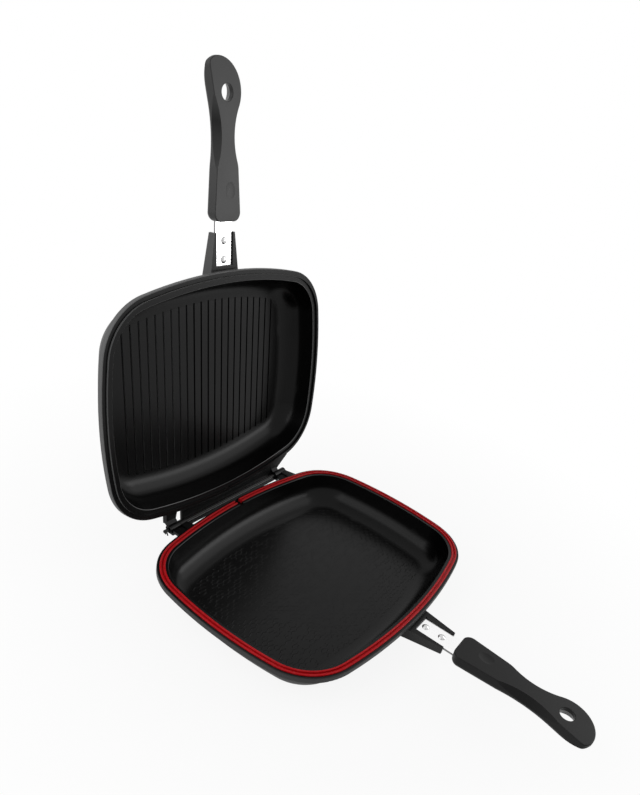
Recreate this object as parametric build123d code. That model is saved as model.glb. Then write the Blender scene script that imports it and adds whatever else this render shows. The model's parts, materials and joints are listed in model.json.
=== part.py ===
from build123d import *
import math
import os

# Double sided flip pan: two drafted pan halves that meet at a sealed rim, turn on a long hinge rod
# and carry one flat strap handle each. Millimetres. The origin is the middle of the lower pan's base,
# +Z is up, the hinge runs along X on the +Y side and the handles point to -Y. The lid stands open.

# ---- plan outline of the rim, measured on the centre line of the seal
SEAL_HALF_WIDTH = 170.0        # middle to the left or right side
SEAL_HALF_DEPTH = 131.0        # middle to the hinge or handle side
SIDE_BOW_RADIUS = 463.0        # the bow of the left and right sides
END_BOW_RADIUS = 585.0         # the bow of the hinge and handle sides
CORNER_RADIUS = 60.7

# ---- the pan halves, heights counted from the parting plane
PAN_HEIGHT = 44.0              # lower pan, parting plane to base
CAVITY_DEPTH = 39.0
LID_BACK_THICKNESS = 4.0
RIM_OVERHANG = 6.2             # rim edge outside the seal's centre line
RIM_THICKNESS = 6.0
WALL_INSET = 5.5               # outer wall below the rim, inside the seal's centre line
CAVITY_INSET = 6.5             # mouth of the cavity, inside the seal's centre line
WALL_DRAFT = 5.0               # degrees
CAVITY_DRAFT = 9.0
BASE_RADIUS = 31.0
COVE_RADIUS = 27.0
RIM_EDGE_RADIUS = 0.8
MOUTH_CHAMFER = 0.6            # on the inner edge of each rim

# ---- rim seal and the lid's tongue
SEAL_WIDTH = 6.2
SEAL_CHANNEL_DEPTH = 3.0
SEAL_SIDE_CLEARANCE = 0.12
SEAL_GROOVE_WIDTH = 2.2
SEAL_GROOVE_DEPTH = 2.2
LOWER_LEDGE_DROP = 1.5         # rim ledge below the parting plane
LID_LEDGE_GAP = 0.4            # lid ledge above the parting plane when closed
TONGUE_WIDTH = 1.4
TONGUE_REACH = 1.8             # past the parting plane, into the seal's groove
LIP_RADIUS = 0.7
VENT_WIDTH = 6.5
SEAL_GAP = 8.5                 # break in the seal over the vent
VENT_DEPTH = 2.6               # below the rim ledge

# ---- grooves in the lid's floor
GROOVE_COUNT = 22
GROOVE_PITCH = 11.25
GROOVE_WIDTH = 2.2
GROOVE_DEPTH = 1.6
GROOVE_END_INSET = 34.0

# ---- hinge
HINGE_SETBACK = 7.8            # rod centre behind the rim's edge
HINGE_DROP = 4.0               # rod centre below the parting plane
ROD_DIAMETER = 4.0
ROD_CLEARANCE = 0.05
KNUCKLE_DIAMETER = 9.0
LEFT_KNUCKLE = (-99.5, -86.0)  # the lid's knuckles, along X
RIGHT_KNUCKLE = (86.0, 96.5)
PAN_KNUCKLE_LENGTH = 9.5
KNUCKLE_GAP = 0.4
LID_GUSSET = 22.0              # the lid's right web is this much longer at the rim
WEB_FLARE = 4.0                # extra length of the other webs at the rim
OPEN_ANGLE = 98.6
ARM_TIP_SHARE = 0.6            # of the knuckle's radius, where the sloping arm meets it
FLANGE_REACH = 12.6            # the lid's rear flange, behind the rod centre
FLANGE_TOP = 1.0               # below the parting plane
FLANGE_THICKNESS = 3.0
FLANGE_SIDE_GAP = 0.5          # from the lower pan's left knuckle
FLANGE_CORNER = 3.0
STOP_GAP = 0.1
STOP_REACH = 6.5               # stop faces in front of the rod centre
STOP_LEVEL = 2.1               # stop faces below the rod centre
STOP_THICKNESS = 3.4
WASHER_DIAMETER = 8.4
WASHER_THICKNESS = 1.2
SPLIT_PIN_DIAMETER = 1.6
SPLIT_PIN_CLEARANCE = 0.1
SPLIT_PIN_LEG_SHARE = 0.9      # of the pin's radius, each half-round leg
SPLIT_PIN_SPREAD = 30.0        # degrees, each leg from straight
ROD_END = 4.5                  # rod past the split pin's centre
ROD_HEAD_DIAMETER = 7.0
ROD_HEAD_HEIGHT = 1.6
ROD_END_CHAMFER = 0.5

# ---- forked bracket, strap and rivets
STRAP_WIDTH = 24.8
STRAP_THICKNESS = 2.5
STRAP_LEVEL = 10.2             # strap's inner face below the parting plane
STRAP_START = 142.0            # from the middle of the pan
STRAP_CORNER = 1.2
STRAP_SIDE_CLEARANCE = 0.3
TANG_WIDTH = 13.0
TANG_START = 198.0
TANG_NECK = 14.0
TANG_END = 249.0
TANG_CORNER = 2.2
FORK_ROOT_HALF_WIDTH = 22.5
FORK_TIP_HALF_WIDTH = 15.4
FORK_TIP = 177.0
FORK_WEB_END = 172.0
FORK_WEB_THICKNESS = 3.5
FORK_TIP_TOP = 8.5             # below the parting plane, like the next three
FORK_ROOT_TOP = 8.3
FORK_TIP_BOTTOM = 17.4
FORK_ROOT_BOTTOM = 21.5
FORK_POCKET_WALL = 4.0
FORK_TIP_RADIUS = 0.5
RIVET_PLACES = (148.3, 168.5)
RIVET_DIAMETER = 5.0
RIVET_CLEARANCE = 0.05
RIVET_HEAD_DIAMETER = 8.6
RIVET_HEAD_HEIGHT = 2.2

# ---- grips
GRIP_START = 189.0
GRIP_LENGTH = 152.5
GRIP_FACE_DROP = 1.5           # flat face below the parting plane
GRIP_THICKNESS = 14.5
GRIP_TIP_THICKNESS = 2.5
GRIP_BACK_RISE = 46.0          # the back curves up over this much of the tip
GRIP_BACK_RADIUS = 6.0
GRIP_FACE_RADIUS = 1.0
GRIP_BASE_CORNER = 9.0
GRIP_SOFT_CORNER = 30.0
GRIP_END_HEADING = (0.15, -1.0)  # where the full end leaves the waist's arc
# the grip's outline: (x, distance from its front end) down the right side, round the tip, up the left
GRIP_RIGHT = ((16.8, 0.0), (12.2, 56.0), (5.9, 84.0), (12.3, 112.0))
GRIP_TIP = ((11.7, 124.0), (3.2, 141.0), (-11.0, 149.8), (-22.0, 152.5), (-29.2, 148.0))
GRIP_LEFT = ((-28.9, 139.5), (-22.8, 115.0), (-17.6, 81.0), (-19.4, 54.0), (-22.8, 0.0))
GRIP_SLOT_CLEARANCE = 0.1
HANG_HOLE_RADIUS = 7.8
HANG_HOLE_X = -5.7
HANG_HOLE_FROM_END = 30.0
HANG_HOLE_EDGE = 0.5
HANG_HOLE_LAND = 4.0           # straight wall below the edge, before the hole opens to the back
HANG_HOLE_FLARE = 5.6          # extra radius at the back
DIMPLE_LENGTH = 18.0
DIMPLE_WIDTH = 14.0
DIMPLE_DEPTH = 0.55
DIMPLE_FROM_START = 31.0
MAGNET_DIAMETER = 11.0
MAGNET_THICKNESS = 5.0
MAGNET_CLEARANCE = 0.1
SCREW_DIAMETER = 4.0
SCREW_HEAD_DIAMETER = 8.0
SCREW_HEAD_HEIGHT = 2.0
SCREW_FROM_START = 48.0
SCREW_CLEARANCE = 0.15
SCREW_SLOT_WIDTH = 1.0
SCOOP_RADIUS = 85.0
SCOOP_DEPTH = 4.4
SCOOP_TILT = 26.0              # degrees, so that it fades out down the side

# ---- places worked out from the sizes above
RIM_EDGE = SEAL_HALF_DEPTH + RIM_OVERHANG
HINGE_Y = RIM_EDGE + HINGE_SETBACK
ROD_RADIUS = ROD_DIAMETER / 2
KNUCKLE_RADIUS = KNUCKLE_DIAMETER / 2
KNUCKLE_BORE = ROD_RADIUS + ROD_CLEARANCE
LID_KNUCKLES = (LEFT_KNUCKLE, RIGHT_KNUCKLE)
PAN_KNUCKLES = tuple((b + KNUCKLE_GAP, b + KNUCKLE_GAP + PAN_KNUCKLE_LENGTH) for a, b in LID_KNUCKLES)
LID_FLARES = ((0.0, WEB_FLARE), (WEB_FLARE, LID_GUSSET))
GRIP_END = GRIP_START + GRIP_LENGTH
STRAP_BACK = STRAP_LEVEL + STRAP_THICKNESS
CHANNEL_HALF_WIDTH = STRAP_WIDTH / 2 + STRAP_SIDE_CLEARANCE
GRIP_BACK = GRIP_FACE_DROP + GRIP_THICKNESS
CUT = 60.0                     # reach of a cutter past what it cuts


def corner_centre():
    """Middle of a corner arc: it touches a side bow and an end bow from inside."""
    side_x = SEAL_HALF_WIDTH - SIDE_BOW_RADIUS
    end_y = SEAL_HALF_DEPTH - END_BOW_RADIUS
    side_reach = SIDE_BOW_RADIUS - CORNER_RADIUS
    end_reach = END_BOW_RADIUS - CORNER_RADIUS
    span = math.hypot(side_x, end_y)
    along = (side_reach**2 - end_reach**2 + span**2) / (2 * span)
    across = math.sqrt(side_reach**2 - along**2)
    ux = -side_x / span
    uy = end_y / span
    return side_x + along * ux - across * uy, along * uy + across * ux


def rim_outline(offset):
    """The pan's plan outline as a face: four bowed sides and four corner arcs, moved out by offset."""
    cx, cy = corner_centre()
    side_x = SEAL_HALF_WIDTH - SIDE_BOW_RADIUS
    end_y = SEAL_HALF_DEPTH - END_BOW_RADIUS
    side_dir = Vector(cx - side_x, cy).normalized()
    end_dir = Vector(cx, cy - end_y).normalized()
    mid_dir = (side_dir + end_dir).normalized()
    side = Vector(side_x, 0) + side_dir * (SIDE_BOW_RADIUS + offset)
    end = Vector(0, end_y) + end_dir * (END_BOW_RADIUS + offset)
    mid = Vector(cx, cy) + mid_dir * (CORNER_RADIUS + offset)
    half_width = SEAL_HALF_WIDTH + offset
    half_depth = SEAL_HALF_DEPTH + offset
    arcs = []
    for sx in (1, -1):
        arcs.append(ThreePointArc((sx * side.X, -side.Y), (sx * half_width, 0), (sx * side.X, side.Y)))
        for sy in (1, -1):
            start = (sx * side.X, sy * side.Y)
            middle = (sx * mid.X, sy * mid.Y)
            arcs.append(ThreePointArc(start, middle, (sx * end.X, sy * end.Y)))
    for sy in (1, -1):
        arcs.append(ThreePointArc((end.X, sy * end.Y), (0, sy * half_depth), (-end.X, sy * end.Y)))
    return make_face(Wire(arcs))


def rim_prism(offset, top, bottom, draft=0.0):
    """Solid on the rim outline from top down to bottom, leaning inwards by draft degrees."""
    block = extrude(rim_outline(offset), amount=top - bottom, taper=draft)
    return Pos(0, 0, top) * mirror(block, about=Plane.XY)


def rim_ring(half_width, top, bottom):
    """Band that follows the seal's centre line."""
    return rim_prism(half_width, top, bottom) - rim_prism(-half_width, top, bottom)


def vent_slot(width, bottom):
    """Cutter across the rim at the middle of the hinge side."""
    reach = RIM_OVERHANG + 2 * CAVITY_INSET
    up = (Align.CENTER, Align.CENTER, Align.MIN)
    return Pos(0, SEAL_HALF_DEPTH, bottom) * Box(width, 2 * reach, CUT, align=up)


def pan_outside(ledge, base):
    """Rim plate and drafted wall with a wide radius at the base, from ledge down to base."""
    plate = rim_prism(RIM_OVERHANG, ledge, ledge - RIM_THICKNESS)
    edge = plate.edges().filter_by(lambda e: e.length > CORNER_RADIUS / 2)
    plate = fillet(edge, RIM_EDGE_RADIUS)
    wall = rim_prism(-WALL_INSET, ledge - RIM_THICKNESS / 2, base, WALL_DRAFT)
    wall = fillet(wall.edges().group_by(Axis.Z)[0], BASE_RADIUS)
    return plate + wall


def pan_cavity(ledge):
    """The cooking space: chamfered mouth, drafted walls and a cove all round the floor."""
    space = rim_prism(-CAVITY_INSET, ledge, -CAVITY_DEPTH, CAVITY_DRAFT)
    space = fillet(space.edges().group_by(Axis.Z)[0], COVE_RADIUS)
    outside = 2 * MOUTH_CHAMFER - CAVITY_INSET
    edge = rim_prism(outside, ledge + MOUTH_CHAMFER, ledge - MOUTH_CHAMFER, 45)
    return space + rim_prism(-CAVITY_INSET, ledge + CUT, ledge) + edge


def bar_x(start, end, radius, y, z):
    """Round bar along X."""
    return Pos((start + end) / 2, y, z) * Rot(0, 90, 0) * Cylinder(radius, end - start)


def knuckle(start, end, axis_z, rim_top, flares):
    """Hinge knuckle on a sloping arm, with a gusset that is longer at the rim, left and right."""
    rim_bottom = rim_top - RIM_THICKNESS
    root = SEAL_HALF_DEPTH - 2 * CAVITY_INSET
    wall = SEAL_HALF_DEPTH - WALL_INSET
    front = HINGE_Y - KNUCKLE_RADIUS
    left, right = start - flares[0], end + flares[1]
    plan = make_face(Polyline(
        (left, root), (right, root), (right, wall), (end, front), (start, front), (left, wall), close=True))
    gusset = Pos(0, 0, rim_bottom) * extrude(plan, amount=RIM_THICKNESS)
    slope = KNUCKLE_RADIUS * ARM_TIP_SHARE
    side = make_face(Polyline(
        (root, rim_bottom), (root, rim_top), (RIM_EDGE, rim_top), (HINGE_Y, axis_z + slope),
        (HINGE_Y, axis_z - slope), (RIM_EDGE, rim_bottom), close=True))
    arm = extrude(Pos(start, 0, 0) * (Plane.YZ * side), amount=end - start, dir=(1, 0, 0))
    return gusset + arm + bar_x(start, end, KNUCKLE_RADIUS, HINGE_Y, axis_z)


def fork():
    """Cast bracket under the strap: two tapering prongs and a web that the rivets pass through."""
    root = SEAL_HALF_DEPTH - 2 * CAVITY_INSET
    rim_side = SEAL_HALF_DEPTH - WALL_INSET
    plan = make_face(Polyline(
        (-FORK_ROOT_HALF_WIDTH, -root), (-FORK_ROOT_HALF_WIDTH, -rim_side), (-FORK_TIP_HALF_WIDTH, -FORK_TIP),
        (FORK_TIP_HALF_WIDTH, -FORK_TIP), (FORK_ROOT_HALF_WIDTH, -rim_side), (FORK_ROOT_HALF_WIDTH, -root),
        close=True))
    plan = Pos(0, 0, -CUT) * extrude(plan, amount=2 * CUT)
    side = make_face(Polyline(
        (-root, -LOWER_LEDGE_DROP - RIM_THICKNESS / 2), (-RIM_EDGE, -FORK_ROOT_TOP),
        (-FORK_TIP, -FORK_TIP_TOP), (-FORK_TIP, -FORK_TIP_BOTTOM),
        (-rim_side, -FORK_ROOT_BOTTOM), (-root, -FORK_ROOT_BOTTOM), close=True))
    side = Pos(-CUT, 0, 0) * (Plane.YZ * side)
    body = plan & extrude(side, amount=2 * CUT, dir=(1, 0, 0))
    tips = body.edges().filter_by(Axis.Z).group_by(Axis.Y)[0]
    return fillet(tips, FORK_TIP_RADIUS)


def fork_cuts():
    """Channel for the strap, the open end between the prongs, and the pocket over the rivet tails."""
    above = (Align.CENTER, Align.MAX, Align.MIN)
    through = (Align.CENTER, Align.MAX, Align.CENTER)
    below = (Align.CENTER, Align.MAX, Align.MAX)
    width = 2 * CHANNEL_HALF_WIDTH
    start = STRAP_SIDE_CLEARANCE - STRAP_START
    channel = Pos(0, start, -STRAP_BACK) * Box(width, CUT, CUT / 2, align=above)
    open_end = Pos(0, -FORK_WEB_END, 0) * Box(width, CUT, 2 * CUT, align=through)
    pocket = Box(width - 2 * FORK_POCKET_WALL, CUT, CUT, align=below)
    pocket = Pos(0, -STRAP_START, -STRAP_BACK - FORK_WEB_THICKNESS) * pocket
    return channel + open_end + pocket + rivet_holes(RIVET_DIAMETER / 2 + RIVET_CLEARANCE)


def rivet_holes(radius):
    holes = Part()
    for place in RIVET_PLACES:
        holes += Pos(0, -place, -STRAP_BACK) * Cylinder(radius, CUT)
    return holes


def stop_block(front, back, top, left, right):
    """Block of the open stop, from front to back along Y, hanging from top."""
    low = (Align.MIN, Align.MIN, Align.MAX)
    return Pos(left, front, top) * Box(right - left, back - front, STOP_THICKNESS, align=low)


def lower_pan():
    """Lower half, with the seal's channel, the vent, its two knuckles and the handle's fork."""
    ledge = -LOWER_LEDGE_DROP
    body = pan_outside(ledge, -PAN_HEIGHT)
    stop_root = SEAL_HALF_DEPTH - 2 * CAVITY_INSET
    stop_top = -HINGE_DROP - STOP_LEVEL + STOP_THICKNESS
    for start, end in PAN_KNUCKLES:
        body += knuckle(start, end, -HINGE_DROP, ledge, (0.0, WEB_FLARE))
    for start, end in LID_KNUCKLES:
        body += stop_block(stop_root, HINGE_Y - STOP_REACH, stop_top, start, end + 2 * KNUCKLE_GAP)
    body += fork()
    body -= fork_cuts()
    body -= pan_cavity(ledge)
    body -= rim_ring(SEAL_WIDTH / 2 + SEAL_SIDE_CLEARANCE, CUT, ledge - SEAL_CHANNEL_DEPTH)
    body -= vent_slot(VENT_WIDTH, ledge - VENT_DEPTH)
    for start, end in PAN_KNUCKLES:
        body -= bar_x(start - 1, end + 1, KNUCKLE_BORE, HINGE_Y, -HINGE_DROP)
    return body


def floor_grooves():
    """Narrow parallel grooves across the lid's floor, ending on a line parallel to the rim."""
    bars = Part()
    for index in range(GROOVE_COUNT):
        x = (index - (GROOVE_COUNT - 1) / 2) * GROOVE_PITCH
        bars += Pos(x, 0, -CAVITY_DEPTH) * Box(GROOVE_WIDTH, 2 * SEAL_HALF_DEPTH, 2 * GROOVE_DEPTH)
    return bars & rim_prism(-GROOVE_END_INSET, -CAVITY_DEPTH + CUT, -CAVITY_DEPTH - CUT)


def rear_flange():
    """Flat plate of the lid behind the hinge, between the lower pan's left knuckle and the right arm."""
    root = SEAL_HALF_DEPTH - 2 * CAVITY_INSET
    left = PAN_KNUCKLES[0][1] + FLANGE_SIDE_GAP
    right = RIGHT_KNUCKLE[1]
    corner = (Align.MIN, Align.MIN, Align.MAX)
    plate = Box(right - left, HINGE_Y + FLANGE_REACH - root, FLANGE_THICKNESS, align=corner)
    plate = Pos(left, root, -FLANGE_TOP) * plate
    return fillet(plate.edges().filter_by(Axis.Z).group_by(Axis.Y)[-1], FLANGE_CORNER)


def upper_pan():
    """Lid half, drawn upside down on the parting plane like the lower half."""
    ledge = -LID_LEDGE_GAP
    body = pan_outside(ledge, -CAVITY_DEPTH - LID_BACK_THICKNESS)
    for (start, end), flares in zip(LID_KNUCKLES, LID_FLARES):
        body += knuckle(start, end, HINGE_DROP, ledge, flares)
    body += rear_flange()
    body += fork()
    body -= fork_cuts()
    body -= pan_cavity(ledge)
    body -= floor_grooves()
    body += rim_ring(TONGUE_WIDTH / 2, TONGUE_REACH, ledge - RIM_EDGE_RADIUS)
    body -= vent_slot(VENT_WIDTH, ledge)
    for start, end in LID_KNUCKLES:
        body -= bar_x(start - 1, end + 1, KNUCKLE_BORE, HINGE_Y, HINGE_DROP)
    return body


def stop_heels():
    """Heels under the lid's knuckles, in the open lid's place, each just below its stop block."""
    heels = Part()
    face = PAN_HEIGHT - HINGE_DROP - STOP_LEVEL - STOP_GAP
    for start, end in LID_KNUCKLES:
        heel = stop_block(HINGE_Y - STOP_REACH, HINGE_Y, face, start, end)
        heels += heel - bar_x(start, end, KNUCKLE_BORE, HINGE_Y, PAN_HEIGHT - HINGE_DROP)
    return heels


def rim_gasket():
    """Seal in the rim's channel: a base and two rounded lips with a groove between, open at the vent."""
    floor = -LOWER_LEDGE_DROP - SEAL_CHANNEL_DEPTH
    seal = rim_ring(SEAL_WIDTH / 2, 0, floor) - rim_ring(SEAL_GROOVE_WIDTH / 2, CUT, -SEAL_GROOVE_DEPTH)
    lips = seal.edges().group_by(Axis.Z)[-1]
    seal = fillet(lips, LIP_RADIUS)
    return seal - vent_slot(SEAL_GAP, -CUT / 2)


def split_pin(x):
    """Split pin through the rod: a ring on top and two spread legs below."""
    radius = SPLIT_PIN_DIAMETER / 2
    down = (Align.CENTER, Align.CENTER, Align.MAX)
    ring = ROD_RADIUS + 2 * SPLIT_PIN_DIAMETER
    leg_radius = radius * SPLIT_PIN_LEG_SHARE
    pin = Pos(0, 0, ring) * Rot(90, 0, 0) * Torus(SPLIT_PIN_DIAMETER, leg_radius)
    pin += Pos(0, 0, ring - SPLIT_PIN_DIAMETER) * Cylinder(radius, ring + ROD_RADIUS, align=down)
    for side in (-1, 1):
        leg = Cylinder(leg_radius, 2 * ROD_RADIUS, align=down)
        pin += Pos(0, 0, -ROD_RADIUS - radius) * Rot(side * SPLIT_PIN_SPREAD, 0, 0) * leg
    return Pos(x, HINGE_Y, PAN_HEIGHT - HINGE_DROP) * pin


def hinge_ends():
    """Outer faces of the left and right knuckle groups, and the split pin's place past the washer."""
    left = LEFT_KNUCKLE[0]
    right = PAN_KNUCKLES[1][1]
    return left, right, left - 2 * KNUCKLE_GAP - WASHER_THICKNESS - SPLIT_PIN_DIAMETER


def washer():
    outer = hinge_ends()[0] - KNUCKLE_GAP / 2
    inner = outer - WASHER_THICKNESS
    z = PAN_HEIGHT - HINGE_DROP
    disc = bar_x(inner, outer, WASHER_DIAMETER / 2, HINGE_Y, z)
    return disc - bar_x(inner - 1, outer + 1, ROD_RADIUS + ROD_CLEARANCE, HINGE_Y, z)


def hinge_rod():
    """Long rod through all four knuckles: domed head on the right, cross hole on the left."""
    _, right, pin = hinge_ends()
    z = PAN_HEIGHT - HINGE_DROP
    head = right + KNUCKLE_GAP / 2
    rod = bar_x(pin - ROD_END, head, ROD_RADIUS, HINGE_Y, z)
    rod = chamfer(rod.edges().filter_by(GeomType.CIRCLE).sort_by(Axis.X)[0], ROD_END_CHAMFER)
    rod += Pos(head, HINGE_Y, z) * Rot(0, 90, 0) * dome(ROD_HEAD_DIAMETER, ROD_HEAD_HEIGHT)
    hole = Cylinder(SPLIT_PIN_DIAMETER / 2 + SPLIT_PIN_CLEARANCE, 2 * ROD_DIAMETER)
    return rod - Pos(pin, HINGE_Y, z) * hole


def strap():
    """Flat steel strap with two rivet holes and a narrower tang inside the grip."""
    wide = STRAP_WIDTH / 2
    narrow = TANG_WIDTH / 2
    right = [(wide, -STRAP_START), (wide, -TANG_START), (narrow, -TANG_START - TANG_NECK), (narrow, -TANG_END)]
    left = [(-x, y) for x, y in reversed(right)]
    plan = make_face(Polyline(*right, *left, close=True))
    plan = fillet(plan.vertices().group_by(Axis.Y)[0], TANG_CORNER)
    plan = fillet(plan.vertices().group_by(Axis.Y)[-1], STRAP_CORNER)
    bar = Pos(0, 0, -STRAP_BACK) * extrude(plan, amount=STRAP_THICKNESS)
    bar -= rivet_holes(RIVET_DIAMETER / 2 + RIVET_CLEARANCE)
    hole = Cylinder(SCREW_DIAMETER / 2 + SCREW_CLEARANCE, CUT)
    return bar - Pos(0, -GRIP_START - SCREW_FROM_START, -STRAP_BACK) * hole


def dome(diameter, height):
    """Shallow spherical cap on the XY plane."""
    radius = (diameter**2 / 4 + height**2) / (2 * height)
    ball = Pos(0, 0, height - radius) * Sphere(radius)
    keep = Box(2 * diameter, 2 * diameter, height, align=(Align.CENTER, Align.CENTER, Align.MIN))
    return ball & keep


def strap_rivet(place):
    """Domed rivet through the strap and the fork's web."""
    shank = STRAP_THICKNESS + FORK_WEB_THICKNESS
    body = Cylinder(RIVET_DIAMETER / 2, shank, align=(Align.CENTER, Align.CENTER, Align.MAX))
    body += dome(RIVET_HEAD_DIAMETER, RIVET_HEAD_HEIGHT)
    body += Pos(0, 0, -shank) * mirror(dome(RIVET_HEAD_DIAMETER, RIVET_HEAD_HEIGHT / 2), about=Plane.XY)
    return Pos(0, -place, -STRAP_LEVEL) * body


def grip_outline():
    """Plan outline of a grip: straight base, waist, full end with the hanging hole, and a hooked tip."""
    right = [(x, -GRIP_START - y) for x, y in GRIP_RIGHT]
    tip = [(x, -GRIP_START - y) for x, y in GRIP_TIP]
    left = [(x, -GRIP_START - y) for x, y in GRIP_LEFT]
    waist = ThreePointArc(right[1], right[2], right[3])
    hook = Line(left[0], left[1])
    face = make_face(Wire([
        Line(left[4], right[0]), Line(right[0], right[1]), waist,
        Spline(right[3], *tip, left[0], tangents=(GRIP_END_HEADING, hook % 0)),
        hook, ThreePointArc(left[1], left[2], left[3]), Line(left[3], left[4])]))
    face = fillet(face.vertices().group_by(Axis.Y)[-1], GRIP_BASE_CORNER)
    joins = (right[1], right[3], left[1], left[3])
    soft = face.vertices().filter_by(lambda v: any(abs(v.X - x) + abs(v.Y - y) < 1 for x, y in joins))
    return fillet(soft, GRIP_SOFT_CORNER)


def grip_back():
    """Everything above the grip's back: flat, then curving up to the thinner tip."""
    rise = GRIP_THICKNESS - GRIP_TIP_THICKNESS
    bend = -GRIP_END + GRIP_BACK_RISE
    radius = (GRIP_BACK_RISE**2 + rise**2) / (2 * rise)
    half = math.asin(GRIP_BACK_RISE / radius) / 2
    middle = (bend - radius * math.sin(half), -GRIP_BACK + radius * (1 - math.cos(half)))
    bottom = Line((-GRIP_START + 1, -GRIP_BACK), (bend, -GRIP_BACK))
    curve = ThreePointArc((bend, -GRIP_BACK), middle, (-GRIP_END, rise - GRIP_BACK))
    rest = Polyline(
        (-GRIP_END, rise - GRIP_BACK), (-GRIP_END - 1, rise - GRIP_BACK), (-GRIP_END - 1, -GRIP_FACE_DROP),
        (-GRIP_START + 1, -GRIP_FACE_DROP), (-GRIP_START + 1, -GRIP_BACK))
    side = make_face(Wire([bottom, curve, *rest.edges()]))
    side = Pos(-CUT, 0, 0) * (Plane.YZ * side)
    return extrude(side, amount=2 * CUT, dir=(1, 0, 0))


def grip_slot():
    """Space for the strap and its tang."""
    wide = STRAP_WIDTH / 2 + GRIP_SLOT_CLEARANCE
    narrow = TANG_WIDTH / 2 + GRIP_SLOT_CLEARANCE
    end = -TANG_END - GRIP_SLOT_CLEARANCE
    right = [(wide, -GRIP_START + 1), (wide, -TANG_START), (narrow, -TANG_START - TANG_NECK), (narrow, end)]
    left = [(-x, y) for x, y in reversed(right)]
    plan = make_face(Polyline(*right, *left, close=True))
    return Pos(0, 0, -STRAP_BACK) * extrude(plan, amount=STRAP_THICKNESS + GRIP_SLOT_CLEARANCE)


def finger_scoop():
    """Cutter for the shallow scoop in the grip's left edge, deepest at the flat face."""
    x, y = GRIP_LEFT[2]
    roller = Pos(-SCOOP_RADIUS, 0, 0) * Cylinder(SCOOP_RADIUS, 4 * CUT)
    roller = Pos(0, 0, -GRIP_FACE_DROP) * Rot(0, SCOOP_TILT, 0) * roller
    return Pos(x + SCOOP_DEPTH, -GRIP_START - y, 0) * roller


def hang_hole():
    """Cutter for the hanging hole: chamfered edge, straight land, then a cone open to the back."""
    down = (Align.CENTER, Align.CENTER, Align.MAX)
    wide = HANG_HOLE_RADIUS + HANG_HOLE_EDGE
    edge = Cone(HANG_HOLE_RADIUS, wide, HANG_HOLE_EDGE, align=down)
    land = Cylinder(HANG_HOLE_RADIUS, GRIP_THICKNESS, align=down)
    depth = GRIP_THICKNESS - HANG_HOLE_EDGE - HANG_HOLE_LAND
    flare = Cone(HANG_HOLE_RADIUS + HANG_HOLE_FLARE, HANG_HOLE_RADIUS, depth, align=down)
    hole = edge + land + Pos(0, 0, -HANG_HOLE_EDGE - HANG_HOLE_LAND) * flare
    return Pos(HANG_HOLE_X, -GRIP_END + HANG_HOLE_FROM_END, -GRIP_FACE_DROP) * hole


def face_dimple():
    """Cutter for the oval dimple over the magnet."""
    radius = DIMPLE_LENGTH**2 / (8 * DIMPLE_DEPTH)
    ball = scale(Pos(0, 0, radius - DIMPLE_DEPTH) * Sphere(radius), (DIMPLE_WIDTH / DIMPLE_LENGTH, 1, 1))
    return Pos(0, -GRIP_START - DIMPLE_FROM_START, -GRIP_FACE_DROP) * ball


def magnet_shape(clearance):
    """Magnet on the strap's inner face."""
    up = (Align.CENTER, Align.CENTER, Align.MIN)
    disc = Cylinder(MAGNET_DIAMETER / 2 + clearance, MAGNET_THICKNESS + clearance, align=up)
    return Pos(0, -GRIP_START - DIMPLE_FROM_START, -STRAP_LEVEL) * disc


def grip():
    """Moulded grip: flat mating face, rounded back, finger scoop, dimple and hanging hole."""
    body = Pos(0, 0, -GRIP_BACK) * extrude(grip_outline(), amount=GRIP_THICKNESS)
    body = fillet(body.edges().group_by(Axis.Z)[0], GRIP_BACK_RADIUS) & grip_back()
    body = fillet(body.faces().sort_by(Axis.Z)[-1].edges(), GRIP_FACE_RADIUS)
    body -= finger_scoop()
    body -= hang_hole()
    body -= face_dimple()
    body -= grip_slot()
    body -= magnet_shape(MAGNET_CLEARANCE)
    return body - screw_shape(SCREW_CLEARANCE)


def screw_shape(clearance):
    """Countersunk screw from the grip's back through the tang."""
    up = (Align.CENTER, Align.CENTER, Align.MIN)
    radius = SCREW_DIAMETER / 2 + clearance
    length = GRIP_BACK - STRAP_LEVEL + clearance + SCREW_DIAMETER / 2
    head = Cone(SCREW_HEAD_DIAMETER / 2 + clearance, radius, SCREW_HEAD_HEIGHT, align=up)
    screw = head + Cylinder(radius, length, align=up)
    return Pos(0, -GRIP_START - SCREW_FROM_START, -GRIP_BACK) * screw


def grip_screw():
    body = screw_shape(0)
    slot = Box(SCREW_HEAD_DIAMETER, SCREW_SLOT_WIDTH, SCREW_HEAD_HEIGHT / 2)
    return body - Pos(0, -GRIP_START - SCREW_FROM_START, -GRIP_BACK) * slot


def open_lid(shape):
    """Carry a piece from the open lid's closed place back to its open one."""
    z = PAN_HEIGHT - HINGE_DROP
    return Pos(0, HINGE_Y, z) * Rot(-OPEN_ANGLE, 0, 0) * Pos(0, -HINGE_Y, -z) * shape


def in_lower(shape):
    return Pos(0, 0, PAN_HEIGHT) * shape


def in_upper(shape):
    return open_lid(Pos(0, 0, PAN_HEIGHT) * mirror(shape, about=Plane.XY))


def save(name, shape):
    export_step(shape, f"parts/{name}.step")


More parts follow.
